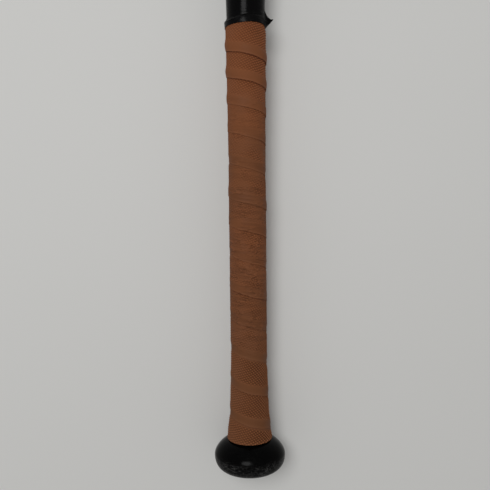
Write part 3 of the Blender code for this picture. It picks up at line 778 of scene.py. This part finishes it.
def make_sleeve(finish):
    """The elastomer cone between handle and barrel and the lip that shows as a thin ring."""
    lip_face = JOINT_STATION - SEAT_GAP
    lip_back = lip_face - SLEEVE_LIP
    lip = barrel_radius(JOINT_STATION) - LIP_INSET
    end = HANDLE_END - SLEEVE_SETBACK
    inside = stretch(handle_radius, end, lip_back, 20) + (SEAT_GAP, 0)
    outside = stretch(handle_radius, lip_face, end, 20) + (SEAT_GAP + SLEEVE_WALL, 0)
    outline = np.concatenate((inside, [(lip, lip_back), (lip, lip_face)], outside))
    turned("joint_ring", outline, finish, "joint_sleeve", soft=0.00025)


def make_collar(finish):
    """The tapered ring below the joint, with one round groove.

    Its radius rises from tip to brim by (s + s^2) / 2, and the groove is a power of a half sine.
    """
    top = JOINT_STATION - SEAT_GAP - SLEEVE_LIP - SEAT_GAP
    low = top - COLLAR_LENGTH
    tip = handle_radius(low) + SEAT_GAP + COLLAR_TIP
    brim = barrel_radius(JOINT_STATION)
    groove_low = top - 3 * COLLAR_GROOVE_WIDTH
    y = np.linspace(low, top, 80)
    share = (y - low) / COLLAR_LENGTH
    r = tip + (brim - tip) * (share + share**2) / 2
    in_groove = np.clip((y - groove_low) / COLLAR_GROOVE_WIDTH, 0, 1)
    r = r - COLLAR_GROOVE * np.sin(in_groove * pi) ** COLLAR_GROOVE_POWER
    inside = stretch(handle_radius, top, low, 20) + (SEAT_GAP, 0)
    outline = np.concatenate((np.stack((r, y), -1), inside))
    turned("joint_trim", outline, finish, "joint_collar", soft=0.0003)


def make_barrel(finish):
    """The hollow barrel from its throat to its open end, which the end cap closes."""
    outside = stretch(barrel_radius, JOINT_STATION, SHOULDER_STATION, 90)
    edge = arc(BARREL_RADIUS - BARREL_EDGE, BARREL_END - BARREL_EDGE, BARREL_EDGE, BARREL_EDGE, 12)
    bore = BARREL_RADIUS - BARREL_WALL
    taper = stretch(barrel_bore, SHOULDER_STATION, HANDLE_END, 40)
    socket = stretch(socket_radius, HANDLE_END, JOINT_STATION, 16)[1:]
    outline = np.concatenate((outside, edge[::-1], [(bore, BARREL_END)], taper, socket))
    turned("barrel", outline, finish, "barrel_shell", soft=0.0004)


def make_cap(finish):
    """Dished face with a raised ring, crowned edge and skirt of the end cap."""
    skirt = BARREL_RADIUS - BARREL_WALL - SEAT_GAP
    skirt_end = BARREL_END - SKIRT_LENGTH
    dish_floor = BAT_LENGTH - DISH_DEPTH
    plate = dish_floor - CAP_WALL
    flange = BARREL_RADIUS - CAP_INSET
    seat = BARREL_END + SEAT_GAP
    crown_height = CAP_HEIGHT - CAP_EDGE_HEIGHT
    crown = arc(flange - CAP_CROWN, BARREL_END + CAP_EDGE_HEIGHT, CAP_CROWN, crown_height, 20)[::-1]
    rim = flange - CAP_CROWN - CAP_RIM_WIDTH
    dish = [(rim, BAT_LENGTH), (rim - DISH_SLOPE, dish_floor)]
    ring_top = dish_floor + DISH_RING_HEIGHT
    ring = list(zip(DISH_RING, (dish_floor, ring_top, ring_top, dish_floor)))
    inside = [(0, plate), (skirt - CAP_WALL, plate), (skirt - CAP_WALL, skirt_end)]
    outside = [(skirt, skirt_end), (skirt, seat), (flange, seat)]
    outline = inside + outside + crown.tolist() + dish + ring + [(0, dish_floor)]
    turned("barrel_cap", outline, finish, "end_cap", soft=0.0005)


def per_turn(values, turns):
    """A value for each turn, blended smoothly from one pass over the top of the grip to the next."""
    passes = np.clip(turns - GRIP_PHASE + 1, 0, len(values) - 1.001)
    whole = np.floor(passes).astype(int)
    share = smooth_step(passes - whole)
    return values[whole] * (1 - share) + values[whole + 1] * share


def edge_station(turns):
    """Station of the strip's lower edge: start + P t - c t^2, plus the stray of a hand-wound strip.

    Small ripples are two sines of the turns, and the last half turn rises by a smooth step.
    """
    closing = (PITCH_AT_KNOB - PITCH_AT_TOP) / (2 * GRIP_TURNS)
    even = WINDING_START + PITCH_AT_KNOB * turns - closing * turns**2
    rise = LAST_RISE * sets_in(turns, LAST_FROM, LAST_OVER)
    return even + per_turn(STRAY, turns) + sines(RIPPLES, turns) + rise


def strip_thickness(u, y):
    """The strip's thickness at u across: thin at both edges and rounded over within EDGE_ROUND of them.

    It falls smoothly to the share STRETCHED where the strip was pulled tighter, up the grip.
    """
    inwards = np.clip(np.minimum(u, STRIP_WIDTH - u), 0, None)
    body = STRIP_EDGE + (STRIP_THICKNESS - STRIP_EDGE) * smooth_step(inwards / STRIP_SKIVE)
    turn_down = np.clip(inwards / EDGE_ROUND, 0, 1)
    pulled = 1 - (1 - STRETCHED) * sets_in(y, STRETCH_FROM, STRETCH_TO - STRETCH_FROM)
    return body * pulled * (EDGE_LEFT + (1 - EDGE_LEFT) * np.sqrt(1 - (1 - turn_down) ** 2))


def strip_lift(u, y, lap):
    """How far the turn below holds the strip up: its thickness under the lap, then easing to nothing."""
    under = strip_thickness(np.minimum(u + STRIP_WIDTH - lap, STRIP_WIDTH), y) + LAY_GAP
    at_edge = strip_thickness(STRIP_WIDTH, y) + LAY_GAP
    return np.where(u <= lap, under, at_edge * (1 - smooth_step((u - lap) / LAP_RAMP)))


def lap_at(turns):
    """How much of the strip lies on the turn below."""
    return edge_station(turns - 1) + STRIP_WIDTH - edge_station(turns)


def handled(y):
    """Share of handling: full between the two hands' reach, and nothing near the knob and the tape."""
    return sets_in(y, *HANDS_ABOVE) * sets_in(y, *HANDS_BELOW)


def knurl_left(angle, y):
    """Share of the knurl's depth that hands have left: most of it at both ends, less in the middle.

    The worn patches are where a sum of four sines of angle and station is high. The knurl is deeper
    in the lower half, and deeper towards +X than towards -X.
    """
    middle = handled(y)
    patches = smooth_step(0.5 + sines(WORN_PATCHES, angle, y) / PATCH_SPREAD)
    in_reach = PATCH_LEFT + MORE_BETWEEN * (1 - patches)
    left = (1 - middle) * (1 - PATCH_LOSS_AT_ENDS * patches) + middle * in_reach
    left = left * (1 + MORE_BELOW * sets_in(y, *DEEPER_BELOW))
    return left * (KNURL_ALL_ROUND + MORE_TOWARDS_X * np.sin(angle))


def start_swell(y):
    """Extra thickness next to the knob, where the strip begins doubled, easing off smoothly."""
    return START_SWELL * (1 - smooth_step((y - GRIP_START - START_FULL) / START_REACH))


def slack_lay(y):
    """Extra thickness along the lower two thirds, where the strip was laid with less pull."""
    return SLACK_LAY * sets_in(y, *SLACK_BELOW) * sets_in(y, *SLACK_ABOVE)


def even_lengths(first, last, step):
    """Turn counts that are an even arc length apart along the strip, and how many they are."""
    fine = np.linspace(first, last, 4000)
    girth = tau * (grip_seat(edge_station(fine) + STRIP_WIDTH / 2) + STRIP_THICKNESS)
    speed = np.hypot(girth, PITCH_AT_KNOB)
    length = np.concatenate(([0.0], np.cumsum((speed[1:] + speed[:-1]) / 2 * np.diff(fine))))
    count = int(length[-1] / step)
    return np.interp(np.arange(count) * step, length, fine), count


def strip_columns():
    """Places across the strip, over its top and back under it, with the knurl's column and share."""
    knurl = KNURL_FROM + np.arange(KNURL_COLUMNS) * KNURL_ACROSS
    beyond = np.linspace(knurl[-1] + KNURL_END, STRIP_WIDTH, 3)
    top = np.concatenate((MARGIN, knurl, beyond))
    u = np.concatenate((top, np.array(UNDERSIDE) * STRIP_WIDTH))[None, :]
    on_top = np.arange(u.size)[None, :] < len(top)
    column = np.arange(u.size)[None, :] - len(MARGIN)
    rise_in = smooth_step((column + 1) / 2) * smooth_step((KNURL_COLUMNS - column) / 2)
    knurled = np.where((column >= 0) & (column < KNURL_COLUMNS), rise_in, 0.0)
    return u, on_top, column, knurled


def strip_faces(count, width, knurled):
    """The strip's faces, and which of them are flat facets of the knurl.

    Each quad is split between its two low points, so that each point that stands up is the tip of a
    pyramid with four sides.
    """
    quads = grid_quads(count, width, wrap_columns=True)
    row, col = np.divmod(quads[:, 0], width)
    starts_high = ((row + col - len(MARGIN)) % 2 == 0)[:, None]
    split_a = np.where(starts_high, quads[:, [0, 1, 3]], quads[:, [0, 1, 2]])
    split_b = np.where(starts_high, quads[:, [1, 2, 3]], quads[:, [0, 2, 3]])
    flat = (knurled[0, col] > 0) & (col < len(MARGIN) + KNURL_COLUMNS - 1)
    return [split_a, split_b, *end_caps(count, width)], np.concatenate((flat, flat, (False, False)))


def grip_shades(t, u, y, angle, on_top, knurl_share):
    """What the grip's finish reads at each point, between 0 and 1 or a little more.

    A seam's painted shade and dirt fall off as exp(-d / reach) on the turn below it and at the strip's
    own edge, and the rub of that edge is a bell curve across it.
    """
    below_seam = np.clip(edge_station(t + 1) - y, 0, None)
    # Painted shade, with some dirt, under each seam and at the strip's own edge, more on top than
    # underneath
    shade = np.exp(-below_seam / SEAM_REACH) * per_turn(SEAM_SHADE, t + 1)
    shade = shade * (SEAM_ALL_ROUND + SEAM_MORE_ON_TOP * np.cos(angle))
    own_edge = OWN_EDGE_LEAST + (1 - OWN_EDGE_LEAST) * per_turn(SEAM_SHADE, t)
    own_edge = own_edge * np.exp(-u / OWN_EDGE_REACH)
    upper_hand = sets_in(y, *UPPER_HAND_BELOW) * sets_in(y, *UPPER_HAND_ABOVE)
    shades = {
        "creased": handled(y) * (1 - CREASES_EASED * sets_in(y, *CREASES_EASE)),
        # Painted shade and soil towards the knob, soil under the upper hand
        "soil_and_shade": np.maximum(sets_in(y, *SHADE_AND_SOIL_BELOW), UPPER_HAND_SOIL * upper_hand),
        "knurled": knurl_share * on_top,
        "seam_shade": np.where(on_top, np.maximum(shade, own_edge), 1.0),
        "edge_wear": bell(u, EDGE_RUBBED_AT, EDGE_RUBBED_WIDTH) * on_top,
    }
    return {label: np.broadcast_to(array, y.shape).ravel() for label, array in shades.items()}


def make_grip(finish):
    """The wound strip as one closed body, cut square at both ends of the grip.

    A point at u across lies at the edge's station plus u, and turns towards -X as the strip climbs.
    Its rows lie square across the strip and half a knurl apart. Every second point of the knurled
    middle stands up, so that each knurl is a low four-sided pyramid with flat faces.
    """
    first = -STRIP_WIDTH / PITCH_AT_KNOB - WOUND_BEFORE
    turns, count = even_lengths(first, GRIP_TURNS + WOUND_AFTER, KNURL_ALONG)
    u, on_top, column, knurled = strip_columns()
    t = turns[:, None] - SKEW * u
    y = edge_station(t) + u
    angle = -tau * (t - GRIP_PHASE)
    knurl_share = knurled * knurl_left(angle, y)
    low_point = (np.arange(count)[:, None] + column) % 2 == 1
    depth = KNURL_DEPTH * knurl_share * smooth_step((y - GRIP_START) / KNURL_FADE)
    thickness = np.where(on_top, strip_thickness(u, y) + start_swell(y) + slack_lay(y), 0.0)
    radius = grip_seat(y) + strip_lift(u, y, lap_at(t)) + thickness - np.where(low_point, depth, 0.0)
    points = round_axis(radius, y, angle).reshape(-1, 3)
    across = (u - KNURL_FROM) / (2 * KNURL_ACROSS)
    uv = np.stack(np.broadcast_arrays(np.arange(count)[:, None] / 2, across), -1).reshape(-1, 2)
    values = grip_shades(t, u, y, angle, on_top, knurl_share)
    faces, flat = strip_faces(count, u.size, knurled)
    grip = add_piece("grip_wrap", points, faces, finish, "grip_strip", uv, values, 50, flat)
    trim_square(grip, GRIP_START, -1)
    trim_square(grip, GRIP_END, 1)


def trim_square(piece, station, side):
    """Cuts away what lies past a plane square to the axis and closes the cut."""
    shape = bmesh.new()
    shape.from_mesh(piece.data)
    through = laid((0, station, 0))
    outwards = (laid((0, 1, 0)) - laid((0, 0, 0))) * side
    everything = shape.verts[:] + shape.edges[:] + shape.faces[:]
    bmesh.ops.bisect_plane(shape, geom=everything, plane_co=through, plane_no=outwards, clear_outer=True)
    open_edges = [e for e in shape.edges if len(e.link_faces) == 1]
    bmesh.ops.holes_fill(shape, edges=open_edges, sides=0)
    shape.to_mesh(piece.data)
    shape.free()


def grip_outside(angle, y):
    """Radius of the wound grip's upper end at an angle and station, from the highest turn there."""
    phase = GRIP_PHASE - angle / tau
    highest = np.zeros(np.broadcast(angle, y).shape)
    for whole in TURNS_UNDER_TAPE:
        t = phase + whole - np.floor(phase)
        u = y - edge_station(t)
        lies = (u >= 0) & (u <= STRIP_WIDTH)
        here = grip_seat(y) + strip_lift(u, y, lap_at(t)) + strip_thickness(u, y)
        highest = np.maximum(highest, np.where(lies, here, 0))
    return highest


def grip_bridged(angle, y):
    """The grip's widest radius within TAPE_BRIDGES of an angle, because taut tape bridges a dip."""
    reach = np.linspace(-TAPE_BRIDGES, TAPE_BRIDGES, 5)
    return np.max([grip_outside(angle + a, y) for a in reach], axis=0)


def tape_seat(angle, y):
    """What the tape lies on: the grip's widest nearby, dropping smoothly onto the bare handle."""
    on_grip = grip_bridged(angle, GRIP_END - TAPE_ON_GRIP / 2 + 0 * angle)
    low_side = np.minimum(on_grip, grip_bridged(angle, np.minimum(y, GRIP_END - JUST_BELOW)))
    falls_from = np.minimum(tape_top(angle) - TAPE_DROPS_FROM * TAPE_DROP, GRIP_END + TAPE_DROPS_BY)
    drop = smooth_step((y - falls_from) / TAPE_DROP)
    return np.maximum(low_side * (1 - drop) + handle_radius(y) * drop, handle_radius(y)) + LAY_GAP


def tape_top(angle):
    """Station of the tape's upper edge: a slanted cut, highest at the tail's side.

    A bell curve dips it at the top of the bat, and another one lifts it towards -X.
    """
    slanted = TAPE_START + TAPE_WIDTH - TAPE_SLANT * (1 - np.sin(angle))
    from_top = (angle + pi) % tau - pi
    dip, *dip_place = TAPE_DIP
    rise, *rise_place = TAPE_RISE
    return slanted - dip * bell(from_top, *dip_place) + rise * bell(from_top, *rise_place)


def wound_tape(angle, lane):
    """The wound part of the tape, a grid of angle by share across.

    Past one turn it climbs onto itself by a smooth step. Folds are three sines that run across it at
    a slant, and bell curves below its upper edge raise the second turn's ridges.
    """
    wound = angle - angle[0]
    second = smooth_step((wound - tau + LAP_CLIMB) / LAP_CLIMB)
    low = TAPE_START + sines(TAPE_LOW_EDGE, angle) + LAP_SHIFT * second
    narrower = LAP_NARROWER * (0.5 + 0.5 * np.cos(angle - LAP_NARROWEST))
    top = tape_top(angle) + second * (LAP_SLACK * np.cos(angle - LAP_SLACKEST) - narrower)
    y = low + (top - low) * lane
    above_low = y - low
    folds = sines(TAPE_FOLDS, angle, above_low)
    drawn = RIDGES_DRAWN * sets_in(angle, *RIDGES_DRAWN_FROM)
    for height, below_edge, share_drawn in RIDGES:
        ridge = top - low - below_edge - drawn * share_drawn
        folds = folds + height * bell(above_low, ridge, RIDGE_WIDTH) * second
    away = smooth_step(above_low / FOLD_FROM_EDGE)
    seat = tape_seat(angle + 0 * y, y) + second * (TAPE_THICKNESS + LAY_GAP * 2)
    radius = seat + FOLD_HEIGHT * (folds + FOLD_MIDDLE) * away * (1 + FOLDS_MORE * second)
    return round_axis(radius, y, angle + 0 * y)


def tape_tail(edge, lane):
    """The loose tail from the wound part's last row of points, a grid of way along by share across.

    Its path's heading turns outwards from the tangent by a smooth step, and both of its sides run to
    the tip by powers of the way that is left.
    """
    s = np.linspace(0, 1, TAIL_STEPS + 1)[1:, None]
    heading = TAPE_LIFT_OFF - TAIL_TURN * smooth_step(s * TAIL_TURN_SOONER)
    step = TAIL_LENGTH / TAIL_STEPS
    along_x = np.cumsum(np.cos(heading) * step, axis=0)
    along_z = np.cumsum(-np.sin(heading) * step, axis=0)
    tip = edge[0, 1] + TAIL_TIP
    left = 1 - np.clip((s - TAIL_FULL) / (1 - TAIL_FULL), 0, 1)
    dropped = tip - edge[0, 1] + TAIL_DROP * smooth_step(s / TAIL_DROP_OVER)
    below = dropped * np.maximum(TAIL_BLUNT, left**TAIL_LOW_POWER)
    above = (edge[-1, 1] - tip) * np.maximum(TAIL_BLUNT, left**TAIL_HIGH_POWER)
    crinkle = sines(TAIL_CRINKLE, s, lane) * s
    x = edge[None, :, 0] + along_x + crinkle * np.sin(heading)
    z = edge[None, :, 2] + along_z + crinkle * np.cos(heading)
    return np.stack((x, tip - below + (below + above) * lane, z), -1)


def make_tape(finish):
    """Stretched tape over the grip's end: one turn and a lap, then a loose tail that curls outwards.

    Its second face lies TAPE_THICKNESS outwards along the normals of the first.
    """
    lane = np.linspace(0, 1, TAPE_ROWS)[None, :]
    angle = np.linspace(TAPE_LIFT_OFF - tau - TAPE_LAP, TAPE_LIFT_OFF, TAPE_STEPS)[:, None]
    wound = wound_tape(angle, lane)
    inner = np.concatenate((wound, tape_tail(wound[-1], lane)))
    normal = np.cross(np.gradient(inner, axis=1), np.gradient(inner, axis=0))
    normal /= np.linalg.norm(normal, axis=-1, keepdims=True)
    off_axis = wound * (1, 0, 1)
    outwards = np.sign(np.sum(normal[:TAPE_STEPS] * off_axis, axis=-1).mean())
    outer = inner + normal * outwards * TAPE_THICKNESS
    body = np.concatenate((inner, outer[:, ::-1]), axis=1)
    rows, columns = body.shape[:2]
    faces = [grid_quads(rows, columns, wrap_columns=True), *end_caps(rows, columns)]
    points = body.reshape(-1, 3)
    add_piece("grip_tape", points, faces, finish, "finishing_tape", sharp=60)


def dress(node, finish):
    """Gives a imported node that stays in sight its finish."""
    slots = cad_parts[node].data.materials
    for i in range(len(slots)):
        slots[i] = finish


def make_bat():
    """Every piece of the bat with its finish."""
    lacquer = lacquer_finish("black_lacquer", ior=1.135, rippled=5.0)
    satin = plain_finish("satin_moulding", SATIN, IOR=1.27)
    rubber = plain_finish("grey_elastomer", RUBBER)
    steel = plain_finish("turned_steel", STEEL, stretch_by=(1, 20, 1), Metallic=1.0)
    foam = plain_finish("cream_foam", FOAM)
    glue = plain_finish("amber_glue", GLUE)
    make_knob(knob_finish())
    make_plug(satin)
    make_handle(lacquer)
    make_sleeve(rubber)
    make_collar(satin)
    make_barrel(lacquer_finish("black_barrel", ior=1.27, rippled=0.4))
    make_cap(satin)
    make_grip(grip_finish())
    make_tape(tape_finish())
    dress("weight_holder", rubber)
    dress("balance_weight", steel)
    dress("foam_bung", foam)
    dress("barrel_ring", laminate_finish())
    dress("cap_bond", glue)


def make_camera():
    """The camera above the grip, looking straight down but for a small lean and roll."""
    data = bpy.data.cameras.new("camera")
    data.lens = CAMERA_LENS
    data.sensor_width = CAMERA_SENSOR
    data.clip_start = CAMERA_NEAREST
    camera = new_object("camera", data)
    turn = Matrix.Rotation(AXIS_TILT - CAMERA_LEAN, 4, "X") @ Matrix.Rotation(CAMERA_ROLL, 4, "Z")
    turn.translation = laid(CAMERA_AT)
    camera.matrix_world = turn
    bpy.context.scene.camera = camera


def make_lamp():
    """A round soft lamp above the grip and a little to its left."""
    data = bpy.data.lights.new("key", "AREA")
    data.shape = "DISK"
    data.size = LAMP_WIDTH
    data.energy = LAMP_WATTS
    lamp = new_object("key", data)
    lamp.location = LAMP_AT
    beam = Vector(LAMP_TOWARDS) - Vector(LAMP_AT)
    lamp.rotation_euler = beam.to_track_quat("-Z", "Y").to_euler()


def make_stage():
    """A plain pale floor, one soft lamp, and an even pale surround."""
    mesh = bpy.data.meshes.new("floor")
    signs = ((-1, -1), (1, -1), (1, 1), (-1, 1))
    corners = [(x * FLOOR_REACH, y * FLOOR_REACH, FLOOR_LEVEL) for x, y in signs]
    mesh.from_pydata(corners, [], [(0, 1, 2, 3)])
    mesh.materials.append(floor_finish())
    floor = new_object("floor", mesh)
    make_lamp()
    world = bpy.data.worlds.new("surround")
    bpy.context.scene.world = world
    world.use_nodes = True
    tree = world.node_tree
    background = tree.nodes["Background"]
    background.inputs["Color"].default_value = SURROUND_COLOUR
    strength = maths(tree, "MULTIPLY_ADD", looked_at(tree), SURROUND_SEEN_MORE, SURROUND_STRENGTH)
    tree.links.new(strength, background.inputs["Strength"])
    bpy.context.scene.view_settings.view_transform = "Standard"


make_bat()
make_camera()
make_stage()
